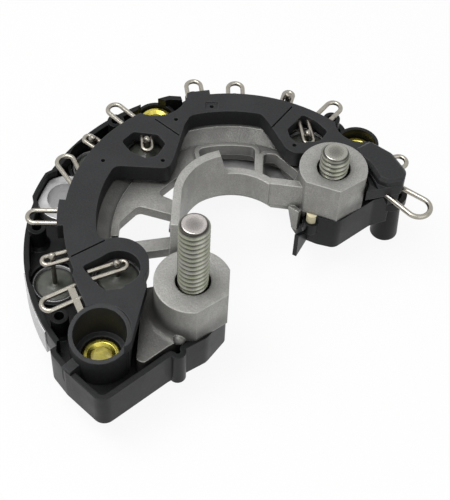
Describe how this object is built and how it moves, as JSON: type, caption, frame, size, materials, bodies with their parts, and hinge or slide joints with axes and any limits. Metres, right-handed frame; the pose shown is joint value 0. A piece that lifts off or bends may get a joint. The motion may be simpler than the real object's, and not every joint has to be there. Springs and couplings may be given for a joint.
{
  "type": "alternator rectifier",
  "caption": "Horseshoe alternator rectifier: cast heat sink with studs, press-fit diodes, insulated lower heat sink, terminal cover, brass eyelets and wire loops.",
  "frame": {"origin": "alternator shaft axis, at the seat plane of the fixing pads", "axes": "+Z along the shaft axis towards the studs; -Y towards the long stud and the front fixing hole; +X towards the short stud and the W terminal"},
  "size_m": [0.1099, 0.1072, 0.056],
  "materials": {
    "negative_heat_sink": "stamped, dull",
    "insulator_tray": "moulded, satin",
    "positive_heat_sink": "die cast, fine sandy",
    "terminal_cover": "moulded, fine grain",
    "stud": "zinc plated, faint tint",
    "diode": "plated cup, grey potting",
    "brass": "drawn, bright",
    "cream_insulator": "moulded, satin",
    "terminal_wire": "tinned wire"
  },
  "bodies": {
    "root": {"negative_heat_sink": "negative_heat_sink", "insulator_tray": "insulator_tray", "positive_heat_sink": "positive_heat_sink", "terminal_cover": "terminal_cover", "b_plus_stud": "stud", "short_stud": "stud", "positive_diode_1": "diode", "positive_diode_2": "diode", "positive_diode_3": "diode", "negative_diode_1": "diode", "negative_diode_2": "diode", "negative_diode_3": "diode", "eyelet_front": "brass", "eyelet_rear_left": "brass", "eyelet_rear_right": "brass", "insulating_bush": "cream_insulator", "stator_loop_1": "terminal_wire", "stator_loop_2": "terminal_wire", "stator_loop_3": "terminal_wire", "stator_loop_4": "terminal_wire", "stator_loop_5": "terminal_wire", "stator_loop_6": "terminal_wire", "stator_loop_7": "terminal_wire", "side_loop": "terminal_wire", "w_terminal": "terminal_wire", "hairpin_positive_1": "terminal_wire", "hairpin_positive_2": "terminal_wire", "hairpin_positive_3": "terminal_wire", "hairpin_negative_1": "terminal_wire", "hairpin_negative_2": "terminal_wire", "hairpin_negative_3": "terminal_wire"}
  },
  "joints": []
}
